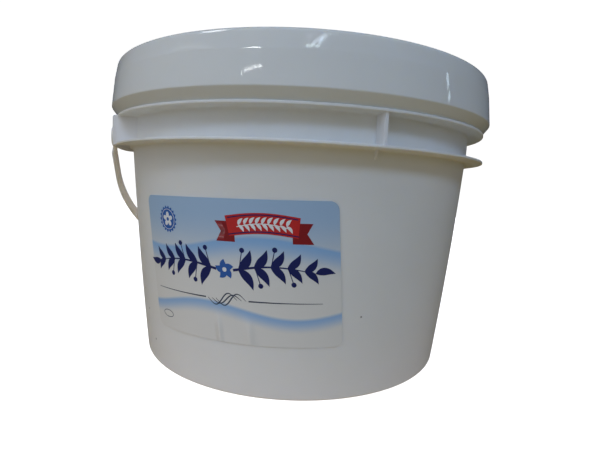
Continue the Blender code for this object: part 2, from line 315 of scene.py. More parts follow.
def turning_tree():
    """Geometry nodes that turn an outline in the XZ plane about Z."""
    tree = bpy.data.node_groups.new("turned moulding", "GeometryNodeTree")
    given = input_sockets(tree, Outline="Geometry", Sides="Int", Join="Float", Plastic="Material")
    size = add(tree, "GeometryNodeAttributeDomainSize", {0: given["Outline"]}, component="MESH")
    columns = add(tree, "ShaderNodeMath", {0: given["Sides"], 1: 1.0}, operation="ADD")
    grid = add(tree, "GeometryNodeMeshGrid", {"Vertices X": columns, "Vertices Y": size})
    index = add(tree, "GeometryNodeInputIndex")
    rung = add(tree, "ShaderNodeMath", {0: index, 1: size}, operation="MODULO")
    share = add(tree, "ShaderNodeMath", {0: index, 1: size}, operation="DIVIDE")
    column = add(tree, "ShaderNodeMath", {0: share}, operation="FLOOR")
    step = add(tree, "ShaderNodeMath", {0: tau, 1: given["Sides"]}, operation="DIVIDE")
    angle = add(tree, "ShaderNodeMath", {0: column, 1: step}, operation="MULTIPLY")
    place = add(tree, "GeometryNodeInputPosition")
    on_outline = add(tree, "GeometryNodeSampleIndex",
                     {"Geometry": given["Outline"], "Value": place, "Index": rung},
                     data_type="FLOAT_VECTOR")
    swung = add(tree, "ShaderNodeVectorRotate", {"Vector": on_outline, "Angle": angle},
                rotation_type="Z_AXIS")
    moved = add(tree, "GeometryNodeSetPosition", {"Geometry": grid, "Position": swung})
    merged = add(tree, "GeometryNodeMergeByDistance",
                 {"Geometry": moved, "Distance": given["Join"]})
    end_tree(tree, merged, given["Plastic"])
    return tree


def strap_tree():
    """Geometry nodes that run a rectangle with round corners along a path."""
    tree = bpy.data.node_groups.new("moulded strap", "GeometryNodeTree")
    given = input_sockets(tree, Path="Geometry", Width="Float", Thickness="Float", Round="Float",
                          Plastic="Material")
    path = add(tree, "GeometryNodeMeshToCurve", {0: given["Path"]})
    section = add(tree, "GeometryNodeCurvePrimitiveQuadrilateral",
                  {"Width": given["Thickness"], "Height": given["Width"]})
    soft = add(tree, "GeometryNodeFilletCurve", {"Curve": section, "Radius": given["Round"]})
    strap = add(tree, "GeometryNodeCurveToMesh", {"Curve": path, "Profile Curve": soft,
                                                  "Fill Caps": True})
    end_tree(tree, strap, given["Plastic"])
    return tree


def with_nodes(name, points, tree, **inputs):
    """Run a geometry tree with its named inputs on a row of points and keep the plain mesh."""
    mesh = bpy.data.meshes.new(name)
    mesh.from_pydata(points, [(i, i + 1) for i in range(len(points) - 1)], [])
    item = new_object(name, mesh)
    modifier = item.modifiers.new(tree.name, "NODES")
    modifier.node_group = tree
    for socket in tree.interface.items_tree:
        if socket.name in inputs:
            modifier[socket.identifier] = inputs[socket.name]
    baked(item)
    bm = bmesh.new()
    bm.from_mesh(item.data)
    bmesh.ops.recalc_face_normals(bm, faces=bm.faces)
    bm.to_mesh(item.data)
    bm.free()
    return item


def turned(name, outline, material, tree, sides=SIDES):
    """A moulding turned about Z, from an outline that runs from axis to axis or closes."""
    points = [(radius, 0, height) for radius, height in outline]
    return with_nodes(name, points, tree, Sides=sides, Join=FINE, Plastic=material)


def lofted(bm, rings, closed=False):
    """Join rings of equally many points, and cap the two ends unless the row closes on itself."""
    rows = [[bm.verts.new(point) for point in ring] for ring in rings]
    pairs = list(zip(rows, rows[1:])) + ([(rows[-1], rows[0])] if closed else [])
    for row, after in pairs:
        for i in range(len(row)):
            bm.faces.new((row[i - 1], row[i], after[i], after[i - 1]))
    if not closed:
        bm.faces.new(rows[0])
        bm.faces.new(rows[-1])
    return rows


def bevel_sharp(bm, width, segments):
    """Round the sharp edges of a closed bmesh."""
    bmesh.ops.recalc_face_normals(bm, faces=bm.faces)
    sharp = [edge for edge in bm.edges if edge.calc_face_angle() > radians(BEVEL_ANGLE)]
    bmesh.ops.bevel(bm, geom=sharp, offset=width, segments=segments, affect="EDGES", profile=0.5)


def ear_radius(turn):
    """The ear's outer radius at an angle from its middle: flat pad, round face, falling end."""
    fallen = (abs(turn) - EAR_FULL_ANGLE) / (EAR_END_ANGLE - EAR_FULL_ANGLE)
    if fallen > 0:
        return EAR_RADIUS - (EAR_RADIUS - NECK_RADIUS + SINK / 2) * (1 - cos(pi * fallen)) / 2
    return min(EAR_RADIUS, EAR_PAD / cos(turn))


def ear_block(name, side, half_angle, inner, shell, bottom, top):
    """A block bent round Z whose outer face lies a shell's thickness inside the ear's."""
    turns = [half_angle * (2 * i / EAR_STEPS - 1) for i in range(EAR_STEPS + 1)]
    bm = bmesh.new()
    rings = []
    for turn in turns:
        outer = ear_radius(turn) - shell
        corners = [(inner, bottom), (outer, bottom), (outer, top), (inner, top)]
        rings.append([on_circle(side * pi / 2 + turn, r, z) for r, z in corners])
    lofted(bm, rings)
    bevel_sharp(bm, EAR_BEVEL, 3)
    return from_bmesh(name, bm)


def radial_plate(name, azimuth, thick, outline):
    """A flat plate that stands out from the axis; the outline is (radius, height) points."""
    bm = bmesh.new()
    sides = (-thick / 2, thick / 2)
    lofted(bm, [[on_circle(azimuth, r, z, side) for r, z in outline] for side in sides])
    bevel_sharp(bm, SMALL_BEVEL, 2)
    return from_bmesh(name, bm)


def combine(body, pieces, operation):
    """Apply one Boolean of a body with pieces, which are then removed."""
    group = bpy.data.collections.new("pieces")
    for piece in pieces:
        bpy.context.scene.collection.objects.unlink(piece)
        group.objects.link(piece)
    bpy.context.scene.collection.children.link(group)
    boolean = body.modifiers.new("combine", "BOOLEAN")
    boolean.operation = operation
    boolean.operand_type = "COLLECTION"
    boolean.collection = group
    baked(body)
    for piece in pieces:
        bpy.data.objects.remove(piece)
    bpy.data.collections.remove(group)


# ---------------------------------------------------------------- pail and lid

def pail_outline():
    """Outline of the pail, from the middle of its base, up the outside, to the rim's middle."""
    foot = [(0, FOOT_DEPTH, 0), (FOOT_INNER - FOOT_DEPTH, FOOT_DEPTH, FOOT_TOP_ROUND),
            (FOOT_INNER, 0, FOOT_EDGE_ROUND), (BASE_RADIUS, 0, BASE_ROUND)]
    heights = [LOWER_FLANGE_BOTTOM * (WALL_END + (1 - 2 * WALL_END) * i / WALL_RINGS)
               for i in range(WALL_RINGS + 1)]
    wall = [(wall_radius(height), height, 0) for height in heights]
    collar = [(WALL_TOP_RADIUS, LOWER_FLANGE_BOTTOM - FLANGE_SLOPE, COVE),
              (LOWER_FLANGE_RADIUS, LOWER_FLANGE_BOTTOM, FLANGE_ROUND),
              (LOWER_FLANGE_RADIUS, LOWER_FLANGE_TOP, FLANGE_ROUND),
              (NECK_RADIUS, LOWER_FLANGE_TOP + FLANGE_SLOPE, COVE),
              (NECK_RADIUS, UPPER_FLANGE_BOTTOM - FLANGE_SLOPE, COVE),
              (UPPER_FLANGE_RADIUS, UPPER_FLANGE_BOTTOM, FLANGE_ROUND),
              (UPPER_FLANGE_RADIUS, UPPER_FLANGE_TOP, FLANGE_ROUND),
              (RIM_RADIUS, UPPER_FLANGE_TOP, SMALL_BEVEL),
              (RIM_RADIUS, RIM_TOP, RIM_TOP_ROUND), (0, RIM_TOP, 0)]
    middle = [Vector(point[:2]) for point in wall[1:-1]]
    return rounded(foot + wall[:1]) + middle + rounded(wall[-1:] + collar)


def ribs():
    """Gussets between the flanges, each over a low triangular rib under the lower flange."""
    inside = WALL_TOP_RADIUS - 2 * SINK
    low, high = LOWER_FLANGE_BOTTOM + SINK / 2, UPPER_FLANGE_BOTTOM + SINK / 2
    gusset = [(inside, low), (GUSSET_RADIUS, low), (GUSSET_RADIUS, high), (inside, high)]
    top = LOWER_FLANGE_BOTTOM + SINK / 3
    under = [(inside, top - RIB_DROP), (WALL_TOP_RADIUS, top - RIB_DROP),
             (RIB_RADIUS, top - RIB_LIP), (RIB_RADIUS, top), (inside, top)]
    azimuths = (GUSSET_AZIMUTH, pi + GUSSET_AZIMUTH)
    return ([radial_plate("gusset", azimuth, GUSSET_THICK, gusset) for azimuth in azimuths]
            + [radial_plate("rib", azimuth, RIB_THICK, under) for azimuth in azimuths])


def make_pail(plastic, turning):
    """The moulded pail, with its ears and ribs in one skin."""
    pail = turned("moulded_pail", pail_outline(), plastic, turning)
    ears = [ear_block("ear", side, EAR_END_ANGLE, NECK_RADIUS - SINK, 0, EAR_BOTTOM, EAR_TOP)
            for side in (1, -1)]
    combine(pail, ears + ribs(), "UNION")
    pockets = [ear_block("pocket", side, POCKET_HALF_ANGLE, POCKET_INNER, EAR_SHELL,
                         POCKET_BOTTOM, POCKET_TOP) for side in (1, -1)]
    combine(pail, pockets, "DIFFERENCE")
    pail.data.shade_smooth()
    pail.data.set_sharp_from_angle(angle=radians(PAIL_SHARP_ANGLE))
    return pail


def make_pivots(plastic, turning):
    """The pin and button head on each ear, in one piece."""
    inside = EAR_PAD - EAR_SHELL / 2
    head_start = EYE_INNER + EYE_WEB + CLEARANCE
    outline = rounded([(0, inside, 0), (PIN_RADIUS, inside, 0),
                       (PIN_RADIUS, head_start, PIN_FILLET),
                       (HEAD_RADIUS, head_start, HEAD_FILLET),
                       (HEAD_RADIUS, head_start + HEAD_THICK, SMALL_BEVEL),
                       (0, head_start + HEAD_THICK, 0)])
    pieces = []
    for side, name in ((1, "pivot_right"), (-1, "pivot_left")):
        pivot = turned(name, outline, plastic, turning, SMALL_SIDES)
        pivot.data.transform(Matrix.Translation((0, 0, PIVOT_HEIGHT))
                             @ Matrix.Rotation(side * pi / 2, 4, "Y"))
        pieces.append(pivot)
    return pieces


def make_lid(plastic, turning):
    """The lid: panel, raised rim, skirt with its crease, and the curled lip below."""
    rim_inner = RIM_RADIUS + CLEARANCE
    outline = rounded([
        (0, PANEL_HEIGHT - PANEL_STEP, 0),
        (PANEL_STEP_RADIUS - PANEL_STEP_WIDTH, PANEL_HEIGHT - PANEL_STEP, STEP_ROUND),
        (PANEL_STEP_RADIUS, PANEL_HEIGHT, STEP_ROUND),
        (RIM_WALL - RIM_DRAFT, PANEL_HEIGHT, PANEL_ROUND),
        (RIM_WALL, LID_TOP, RIM_ROUND),
        (SHOULDER_RADIUS, LID_TOP, SHOULDER_ROUND),
        (CREASE_RADIUS, CREASE_HEIGHT, CREASE_ROUND),
        (LID_RADIUS, SKIRT_BOTTOM, SKIRT_ROUND),
        (LIP_TURN_RADIUS, LIP_TURN, LIP_TURN_ROUND),
        (LIP_RADIUS, LIP_BOTTOM, LIP_ROUND),
        (rim_inner, LIP_BOTTOM, LIP_INNER_ROUND),
        (rim_inner, RIM_TOP + CLEARANCE, INSIDE_ROUND),
        (0, RIM_TOP + CLEARANCE, 0)])
    return turned("moulded_lid", outline, plastic, turning)


# ---------------------------------------------------------------- bail

def strap_path():
    """The bail's middle line, hanging straight down from its pivots in the XZ plane."""
    inset, radius = EYE_INNER + STRAP_THICK / 2, STRAP_INNER + STRAP_THICK / 2
    arm = [(inset, 0, -EYE_BORE - STRAP_ROUND)]
    for i in range(JOGGLE_STEPS + 1):
        share = i / JOGGLE_STEPS
        step_out = (radius - inset) * (1 - cos(pi * share)) / 2
        arm.append((inset + step_out, 0, -JOGGLE[0] - (JOGGLE[1] - JOGGLE[0]) * share))
    bend = [pi * i / ARC_STEPS for i in range(ARC_STEPS + 1)]
    curve = [(radius * cos(a), 0, -ARM_LENGTH - BEND_DEPTH * sin(a)) for a in bend]
    return arm + curve + [(-x, y, z) for x, y, z in reversed(arm)]


def eye_outline():
    """Closed outline of an eye: a ring round the bore, its outer face sunk for the head."""
    outer = EYE_INNER + STRAP_THICK
    middle = (EYE_BORE + EYE_RADIUS) / 2
    return rounded([(middle, EYE_INNER, 0), (EYE_RADIUS, EYE_INNER, EYE_ROUND),
                    (EYE_RADIUS, outer, EYE_ROUND), (EYE_SINK_RADIUS, outer, EYE_ROUND / 2),
                    (EYE_SINK_RADIUS, EYE_INNER + EYE_WEB, EYE_ROUND / 2),
                    (EYE_BORE, EYE_INNER + EYE_WEB, EYE_ROUND / 2),
                    (EYE_BORE, EYE_INNER, EYE_ROUND / 2), (middle, EYE_INNER, 0)])


def make_bail(plastic, turning):
    """The strap and its two eyes, swung to the back as the bail hangs."""
    strap = with_nodes("bail_strap", strap_path(), strap_tree(), Width=STRAP_WIDTH,
                       Thickness=STRAP_THICK, Round=STRAP_ROUND, Plastic=plastic)
    eyes = [turned(name, eye_outline(), plastic, turning, SMALL_SIDES)
            for name in ("bail_eye_right", "bail_eye_left")]
    for eye, side in zip(eyes, (1, -1)):
        eye.data.transform(Matrix.Rotation(side * pi / 2, 4, "Y"))
    for piece in [strap] + eyes:
        piece.data.transform(Matrix.Translation((0, 0, PIVOT_HEIGHT))
                             @ Matrix.Rotation(HANG_ANGLE, 4, "X"))
    return [strap] + eyes


# ---------------------------------------------------------------- label and its print

# Sizes and places on the print, in millimetres from the label's middle
TOUCHING = 1e-4  # ends nearer than this meet
HAIR = 0.02  # thinnest half stroke, and the hole in a full disc
RULE_HEIGHT = -13.4
LEFT_RULE, RIGHT_RULE = (-51.0, -14.5), (9.3, 46.0)
RULE_THIN, RULE_THICK = 0.12, 0.34  # half widths at the outer and the inner end
SCROLL_MIDDLE, SCROLL_HALF_LENGTH = -2.6, 8.2
SCROLL_LINES = ((-2.4, 3.4), (0.0, 2.6), (2.4, 3.4))  # shift along the rule, and swing
SCROLL_THIN, SCROLL_SWELL = 0.1, 0.22  # half width at the ends, and how much more between
SCROLL_CALM = 0.3  # share of its swing that it loses towards the ends
SCROLL_STEPS = 40
SPRAY_MIDDLE = (-2.0, 1.6)
BRANCH_START, BRANCH_LENGTH, BRANCH_ARCH = 4.6, 40.5, 2.6
BRANCH_LEAF, BRANCH_LEAF_HALF_WIDTH, BRANCH_HALF_WIDTH = 12.2, 2.3, 0.5
BRANCH_TAPER = 1.3  # times that half width at the start, and 1 less at the tip
BRANCH_STEPS = 40
LEAF_PAIRS = 5
FIRST_PAIR, FIRST_BERRY = 0.35, 0.4  # where the first of each stands, in steps between pairs
LEAF_SHRINK, TIP_LEAF = 0.3, 0.8  # how much smaller the last pair is, and the tip's size
LEAF_TURN, LEAF_CLOSING = 56, 14  # degrees from the stem, and how many less at its end
LEAF_BOW, LEAF_BIAS = 0.12, 0.8  # sideways bow, and below 1 a leaf is widest near its base
LEAF_STEPS = 16
BERRY_RADIUS, BERRY_REACH, BERRY_HEIGHT, BERRY_FALL = 1.25, 2.2, 9.6, 2.6
STALK_HALF_WIDTH = 0.22
PETALS = 5
BLOSSOM_PETAL, BLOSSOM_PETAL_HALF_WIDTH, BLOSSOM_HEART = 5.2, 1.75, 1.15
RIBBON_MIDDLE = (19.0, 23.0)
RIBBON_HALF_WIDTH, RIBBON_HALF_HEIGHT, RIBBON_ARCH = 17.5, 4.9, 1.8
PIPING_INSET, PIPING_END_INSET, PIPING_HALF_WIDTH = 0.95, 0.4, 0.26
TAIL_INNER, TAIL_OUTER, TAIL_NOTCH, TAIL_DROP = 14.0, 24.0, 3.0, 2.6
TAIL_STEPS = 8
GARLAND_PAIRS, GARLAND_HALF_LENGTH, GARLAND_DROP = 9, 12.5, 0.2
GARLAND_SPREAD = 4.3  # pairs of leaves to half the garland's length
GARLAND_LEAF, GARLAND_LEAF_HALF_WIDTH, GARLAND_TURN = 4.1, 0.8, 52
ROSETTE_MIDDLE, ROSETTE_RADIUS, ROSETTE_LOBES = (-36.5, 24.0), 6.4, 18
ROSETTE_CORE, ROSETTE_SCALLOP = 3.2, 0.5
ROSETTE_HEM = (5.0, 5.25)  # inner and outer radius of the white line in its edge
ROSETTE_NOTCH, ROSETTE_PETAL, ROSETTE_HEART = 1.5, 2.3, 0.95
ROSETTE_FULLNESS = 0.8  # below 1 its petals are fuller
OVAL_MIDDLE, OVAL_RADII, OVAL_HALF_WIDTH = (-45.0, -27.6), (4.3, 1.9), 0.16


def on_label(across, up, lift):
    """A point of the label's face in the frame, from its place on the print."""
    share = up / LABEL_HEIGHT + 0.5
    width = LABEL_BOTTOM_WIDTH + (LABEL_TOP_WIDTH - LABEL_BOTTOM_WIDTH) * share
    along = across * width / LABEL_TOP_WIDTH
    height = LABEL_MIDDLE + up + along * sin(LABEL_RISE)
    radius = wall_radius(height)
    sideways = along - up * sin(LABEL_LEAN)
    return on_circle(LABEL_AZIMUTH + sideways / radius, radius + lift, height)


def make_label(material):
    """The label's film, a closed skin that follows the wall, with its print's coordinates."""
    straight = LABEL_TOP_WIDTH / 2 - LABEL_CORNER
    turn = [straight + LABEL_CORNER * sin(pi / 2 * i / LABEL_CORNER_STEPS)
            for i in range(LABEL_CORNER_STEPS + 1)]
    middle = [straight * (2 * i / LABEL_COLUMNS - 1) for i in range(1, LABEL_COLUMNS)]
    columns = [-across for across in reversed(turn)] + middle + turn
    bm = bmesh.new()
    place = bm.verts.layers.float_vector.new("print")
    rings = []
    for across in columns:
        into = max(abs(across) - straight, 0)
        half = LABEL_HEIGHT / 2 - LABEL_CORNER + sqrt(max(LABEL_CORNER ** 2 - into ** 2, 0))
        rise = [half * (2 * i / LABEL_ROWS - 1) for i in range(LABEL_ROWS + 1)]
        rings.append([(across, up, LABEL_FACE) for up in rise]
                     + [(across, up, LABEL_BACK) for up in reversed(rise)])
    rows = lofted(bm, [[on_label(*point) for point in ring] for ring in rings])
    for row, ring in zip(rows, rings):
        for vertex, (across, up, _) in zip(row, ring):
            vertex[place] = (across / MM, up / MM, 0)
    return from_bmesh("label_film", bm, material, FILM_SHARP_ANGLE)


def stroke(points, half_width):
    """Left and right edges of a stroke of the pen along points of the print.

    half_width is a number, or a function of the share of the way along."""
    edges = []
    last = len(points) - 1
    closed = (Vector(points[0]) - Vector(points[-1])).length < TOUCHING
    for i, point in enumerate(points):
        before = points[i - 1] if i else (points[last - 1] if closed else point)
        after = points[i + 1] if i < last else (points[1] if closed else point)
        way = (Vector(after) - Vector(before)).normalized()
        half = half_width(i / last) if callable(half_width) else half_width
        side = Vector((-way.y, way.x)) * max(half, HAIR)
        edges.append((Vector(point) + side, Vector(point) - side))
    return edges


def band(middle, inner, outer, steps=108):
    """Edges of a closed band between two radii, each a number or a function of the angle."""
    edges = []
    for i in range(steps + 1):
        angle = tau * i / steps
        way = Vector((cos(angle), sin(angle)))
        edges.append([Vector(middle) + way * (r(angle) if callable(r) else r)
                      for r in (outer, inner)])
    return edges


def make_print(name, strokes, material, layer):
    """One colour of the print: closed flakes of ink on the label's face."""
    top, bottom = LABEL_FACE + INK * layer, LABEL_FACE - INK
    bm = bmesh.new()
    for edges in strokes:
        rings = [[on_label(point.x * MM, point.y * MM, lift)
                  for point, lift in ((left, top), (right, top), (right, bottom), (left, bottom))]
                 for left, right in edges]
        closed = (edges[0][0] - edges[-1][0]).length < TOUCHING
        lofted(bm, rings[:-1] if closed else rings, closed)
    return from_bmesh(name, bm, material, FILM_SHARP_ANGLE)


def line(start, end, steps=24):
    """Points along a straight line."""
    return [(start[0] + (end[0] - start[0]) * i / steps, start[1] + (end[1] - start[1]) * i / steps)
            for i in range(steps + 1)]


def oval(middle, across, up, steps=48):
    """Points round an oval that ends where it starts."""
    return [(middle[0] + across * cos(tau * i / steps), middle[1] + up * sin(tau * i / steps))
            for i in range(steps + 1)]


def leaf(base, angle, length, half_width, bow=LEAF_BOW):
    """A leaf that points away from its base and bows a little to its left, or right below 0."""
    tip = (base[0] + length * cos(angle), base[1] + length * sin(angle))
    aside = Vector((-sin(angle), cos(angle))) * length * bow
    path = [(x + aside.x * sin(pi * i / LEAF_STEPS), y + aside.y * sin(pi * i / LEAF_STEPS))
            for i, (x, y) in enumerate(line(base, tip, LEAF_STEPS))]
    return stroke(path, lambda share: half_width * sin(pi * share ** LEAF_BIAS))


def branch(start, heading):
    """A stem with pairs of leaves and one at its tip; heading is 1 to the right, -1 to the left."""
    def at(share):
        return (start[0] + heading * BRANCH_LENGTH * share,
                start[1] + BRANCH_ARCH * sin(pi * share))
    strokes = [stroke([at(i / BRANCH_STEPS) for i in range(BRANCH_STEPS + 1)],
                      lambda share: BRANCH_HALF_WIDTH * (BRANCH_TAPER - share))]
    forward = 0 if heading > 0 else pi
    for i in range(LEAF_PAIRS):
        share = (i + FIRST_PAIR) / LEAF_PAIRS
        size = 1 - LEAF_SHRINK * share
        for side in (1, -1):
            angle = forward + heading * side * radians(LEAF_TURN - LEAF_CLOSING * share)
            strokes.append(leaf(at(share), angle, BRANCH_LEAF * size,
                                BRANCH_LEAF_HALF_WIDTH * size, -LEAF_BOW * heading * side))
    strokes.append(leaf(at(1), forward, BRANCH_LEAF * TIP_LEAF, BRANCH_LEAF_HALF_WIDTH * TIP_LEAF))
    for i in range(LEAF_PAIRS - 1):
        share = (i + FIRST_BERRY) / LEAF_PAIRS
        side = -1 if i % 2 else 1
        foot = at(share)
        berry = (foot[0] + heading * BERRY_REACH,
                 foot[1] + side * (BERRY_HEIGHT - BERRY_FALL * share))
        strokes += [stroke(line(foot, berry, steps=8), STALK_HALF_WIDTH),
                    band(berry, HAIR, BERRY_RADIUS, steps=20)]
    return strokes


def spray():
    """Two leafy branches with berries that part from the blossom."""
    x, y = SPRAY_MIDDLE
    return branch((x + BRANCH_START, y), 1) + branch((x - BRANCH_START, y), -1)


def rules():
    """Two thin rules that thicken inwards, with a plain scroll between them."""
    swell = RULE_THICK - RULE_THIN
    left, right = [line((start, RULE_HEIGHT), (end, RULE_HEIGHT))
                   for start, end in (LEFT_RULE, RIGHT_RULE)]
    strokes = [stroke(left, lambda share: RULE_THIN + swell * share),
               stroke(right, lambda share: RULE_THICK - swell * share)]
    for shift, swing in SCROLL_LINES:
        path = [(SCROLL_MIDDLE + shift + SCROLL_HALF_LENGTH * t,
                 RULE_HEIGHT + swing * sin(pi * t) * (1 - SCROLL_CALM * t * t))
                for t in (2 * i / SCROLL_STEPS - 1 for i in range(SCROLL_STEPS + 1))]
        strokes.append(stroke(path, lambda share: SCROLL_THIN + SCROLL_SWELL * sin(pi * share)))
    return strokes


def ribbon_line(lift, half_width, steps=48):
    """A line along the arched ribbon, a lift above its middle."""
    x, y = RIBBON_MIDDLE
    return [(x + half_width * t, y + lift + RIBBON_ARCH * cos(pi / 2 * t))
            for t in (2 * i / steps - 1 for i in range(steps + 1))]


def ribbon_tails():
    """The ribbon's two ends, which hang lower and are notched."""
    x, y = RIBBON_MIDDLE
    high, low = y + RIBBON_HALF_HEIGHT - TAIL_DROP, y - RIBBON_HALF_HEIGHT - TAIL_DROP
    middle = (high + low) / 2
    tails = []
    for side in (1, -1):
        inner, outer = x + side * TAIL_INNER, x + side * TAIL_OUTER
        notch = outer - side * TAIL_NOTCH
        for edge in (high, low):
            pairs = zip(line((inner, edge), (outer, edge), TAIL_STEPS),
                        line((inner, middle), (notch, middle), TAIL_STEPS))
            tails.append([(Vector(outside), Vector(inside)) for outside, inside in pairs])
    return tails


def garland():
    """A stem along the ribbon with pairs of small leaves."""
    x, y = RIBBON_MIDDLE
    strokes = [stroke(ribbon_line(-GARLAND_DROP, GARLAND_HALF_LENGTH), STALK_HALF_WIDTH)]
    for i in range(GARLAND_PAIRS):
        t = (i - GARLAND_PAIRS // 2) / GARLAND_SPREAD
        arch = RIBBON_ARCH * cos(pi / 2 * t * GARLAND_HALF_LENGTH / RIBBON_HALF_WIDTH)
        base = (x + GARLAND_HALF_LENGTH * t, y - GARLAND_DROP + arch)
        strokes += [leaf(base, radians(side * GARLAND_TURN), GARLAND_LEAF, GARLAND_LEAF_HALF_WIDTH)
                    for side in (1, -1)]
    return strokes


def rosette_petals(angle):
    """Outer radius of the rosette's small flower at an angle."""
    lobe = abs(cos(PETALS / 2 * angle - pi / 4)) ** ROSETTE_FULLNESS
    return ROSETTE_NOTCH + ROSETTE_PETAL * lobe


def rosette_edge(angle):
    """Outer radius of the rosette at an angle: a scalloped circle."""
    return ROSETTE_RADIUS + ROSETTE_SCALLOP * cos(ROSETTE_LOBES * angle)


def make_prints(inks):
    """Every colour of the print, on the label's face."""
    ribbon = stroke(ribbon_line(0, RIBBON_HALF_WIDTH), RIBBON_HALF_HEIGHT)
    piping = [stroke(ribbon_line(side * (RIBBON_HALF_HEIGHT - PIPING_INSET),
                                 RIBBON_HALF_WIDTH - PIPING_END_INSET), PIPING_HALF_WIDTH)
              for side in (1, -1)]
    blossom = [leaf(SPRAY_MIDDLE, pi / 2 + tau * i / PETALS, BLOSSOM_PETAL,
                    BLOSSOM_PETAL_HALF_WIDTH) for i in range(PETALS)]
    rosette = [band(ROSETTE_MIDDLE, HAIR, ROSETTE_CORE),
               band(ROSETTE_MIDDLE, ROSETTE_CORE, rosette_edge, steps=216)]
    stem, *leaves = garland()
    lights = [stem, band(SPRAY_MIDDLE, HAIR, BLOSSOM_HEART, steps=24), *leaves,
              band(ROSETTE_MIDDLE, HAIR, rosette_petals), band(ROSETTE_MIDDLE, *ROSETTE_HEM)]
    heart = [band(ROSETTE_MIDDLE, HAIR, ROSETTE_HEART, steps=24)]
    empty_oval = [stroke(oval(OVAL_MIDDLE, *OVAL_RADII), OVAL_HALF_WIDTH)]
    return [make_print("print_spray", spray(), inks["navy"], 2),
            make_print("print_rules", rules() + empty_oval, inks["slate"], 1),
            make_print("print_ribbon_tails", ribbon_tails(), inks["dark red"], 1),
            make_print("print_ribbon", [ribbon], inks["red"], 2),
            make_print("print_piping", piping, inks["navy"], 3),
            make_print("print_rosette", rosette, inks["blue"], 1),
            make_print("print_blossom", blossom, inks["blue"], 2),
            make_print("print_lights", lights, inks["white"], 3),
            make_print("print_heart", heart, inks["blue"], 4)]


# ---------------------------------------------------------------- materials

CLOUD_SIZE = 40 * MM  # faint clouds in the plastic's tint
RUBBING_SIZE = 7 * MM  # patches rubbed duller or shinier
WAVE_SIZE = 26 * MM  # slow waves that the moulding leaves
GRAIN_SIZE = 0.9 * MM  # fine grain, drawn coarser than real so that it shows
SPECKS = ((4.3, 44.9, 0.65), (-74, 42, 0.6), (-70.5, 31, 0.7), (-66, 14.5, 0.8), (118, 70, 0.7),
          (203, 96, 0.6))  # azimuth in degrees, height and radius in millimetres
SPECK_BROWN = "#4A4038"

INK_SPECKLE_SIZE = 0.5 * MM  # the printing screen, drawn coarser so that it shows
INK_COLOURS = {"navy": "#1A2460", "slate": "#3A4256", "red": "#C92A2C", "dark red": "#8E1D24",
               "blue": "#2F62AE", "white": "#E9EBEC"}
LAMINATE = {"IOR": 1.48, "Roughness": 0.36}  # the clear film over paper and ink
FIELD_WHITE, FIELD_BLUE, WAVE_BLUE = "#E4E3DE", "#A6C2DE", "#80B4E6"
FIELD_FADE = (-6.0, 30.0)  # label millimetres between which the field turns blue
PRINTED_WAVES = ((13.5, 4.0, 118.0, 0.7, 11.0),  # height, swell and length in millimetres,
                 (-19.0, 3.4, 96.0, 2.6, 7.0))  # start in radians, fade below in millimetres
WAVE_DEPTH, WAVE_EDGE = 0.8, 1.6  # share of the deeper blue, and its upper edge's softness
BUBBLES = ((-8.5, 1.8), (8.0, 2.6))  # across and half width of two upright ripples at the foot
BUBBLE_FADE = (-18.0, -30.0)  # label millimetres between which the ripples rise
BUBBLE_HEIGHT = 0.9 * MM


def new_material(name, inputs):
    """A new material, its node tree and its shader, some of whose inputs are set."""
    material = bpy.data.materials.new(name)
    material.use_nodes = True
    tree = material.node_tree
    shader = tree.nodes["Principled BSDF"]
    join(tree, shader, inputs)
    return material, tree, shader


def moulded_plastic(name, light, shade, roughness, wave, grain, specks=()):
    """Injection-moulded plastic: faint clouds in its tint, rubbed gloss, a slow wave, a grain.

    Light sinks in a little, which softens it. A dark speck is moulded in at each point, with
    a radius."""
    material, tree, shader = new_material(name, {
        "IOR": 1.5, "Subsurface Weight": 0.45, "Subsurface Radius": (1.0, 0.9, 0.75),
        "Subsurface Scale": 2.5 * MM})
    place = add(tree, "ShaderNodeTexCoord").outputs["Object"]
    cloud = add(tree, "ShaderNodeTexNoise",
                {"Vector": place, "Scale": 1 / CLOUD_SIZE, "Detail": 3.0, "Roughness": 0.5})
    colour = add(tree, "ShaderNodeMix", {0: cloud, 6: linear(light), 7: linear(shade)},
                 data_type="RGBA").outputs[2]
    for point, radius in specks:
        away = add(tree, "ShaderNodeVectorMath", {0: place, 1: point}, operation="DISTANCE")
        near = add(tree, "ShaderNodeMapRange",
                   {"Value": away.outputs["Value"], "From Min": radius / 2, "From Max": radius,
                    "To Min": 0.7, "To Max": 0.0})
        colour = add(tree, "ShaderNodeMix", {0: near, 6: colour, 7: linear(SPECK_BROWN)},
                     data_type="RGBA").outputs[2]
    rubbing = add(tree, "ShaderNodeTexNoise",
                  {"Vector": place, "Scale": 1 / RUBBING_SIZE, "Detail": 5.0, "Roughness": 0.6})
    rough = add(tree, "ShaderNodeMapRange",
                {"Value": rubbing, "From Min": 0.35, "From Max": 0.75,
                 "To Min": roughness * 0.85, "To Max": roughness * 1.3})
    slow = add(tree, "ShaderNodeTexNoise",
               {"Vector": place, "Scale": 1 / WAVE_SIZE, "Detail": 1.0})
    quick = add(tree, "ShaderNodeTexNoise", {"Vector": place, "Scale": 1 / GRAIN_SIZE})
    waved = add(tree, "ShaderNodeBump", {"Height": slow, "Distance": wave, "Strength": 1.0})
    grained = add(tree, "ShaderNodeBump",
                  {"Height": quick, "Distance": grain, "Strength": 1.0, "Normal": waved})
    join(tree, shader, {"Base Color": colour, "Roughness": rough, "Normal": grained})
    return material


